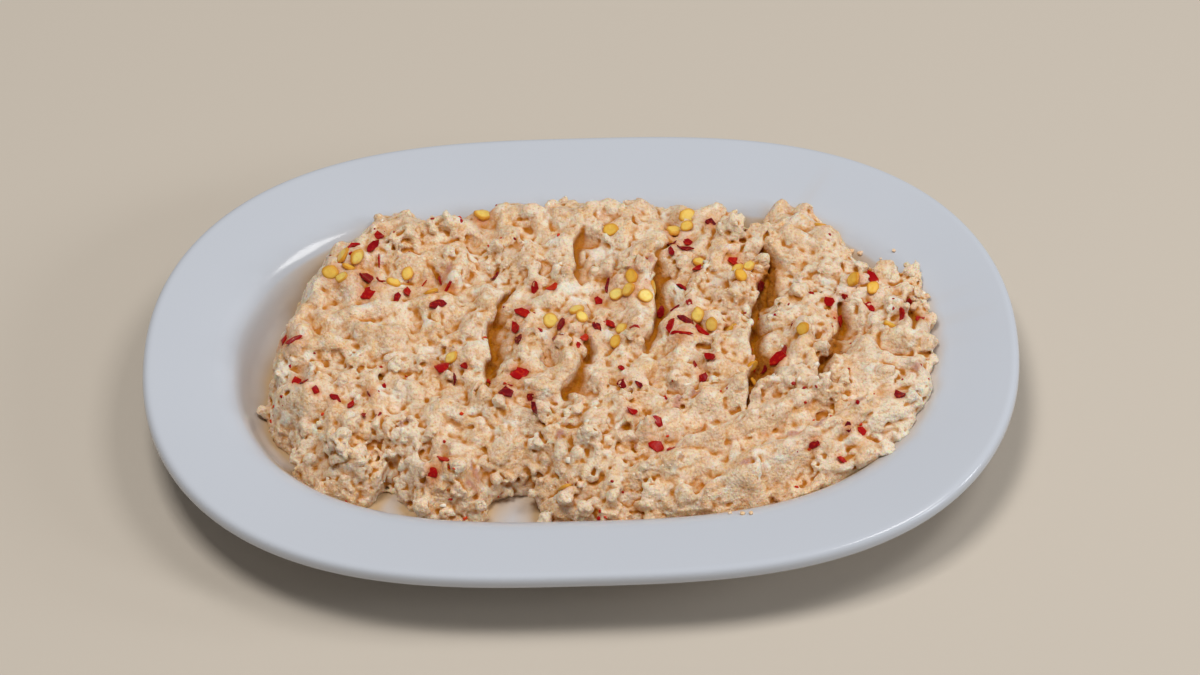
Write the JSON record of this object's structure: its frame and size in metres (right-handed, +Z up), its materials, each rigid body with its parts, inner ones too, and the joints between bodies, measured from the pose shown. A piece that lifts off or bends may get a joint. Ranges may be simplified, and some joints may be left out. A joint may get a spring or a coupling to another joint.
{
  "type": "spicy cheese dip on an oval platter",
  "caption": "Whipped spicy cheese dip spread in the well of a white oval platter, its lumpy top pressed with slits and sprinkled with chilli flakes and seeds.",
  "frame": {"origin": "middle of the platter's footprint, on the plane its foot ring stands on", "axes": "+X along the platter's long axis, to the right as served; +Y to the far side; +Z up"},
  "size_m": [0.24, 0.165, 0.0275],
  "materials": {
    "porcelain": "clear gloss glaze over a white body",
    "spicy_cheese": "moist, curdy pale orange cheese with amber oil in its hollows",
    "chilli_seed": "satin yellow seed",
    "chilli_flake": "dark red dried chilli with a soft gloss",
    "white_curd": "moist white curd"
  },
  "bodies": {
    "root": {"oval_platter": "porcelain", "cheese_dip": "spicy_cheese"}
  },
  "joints": []
}
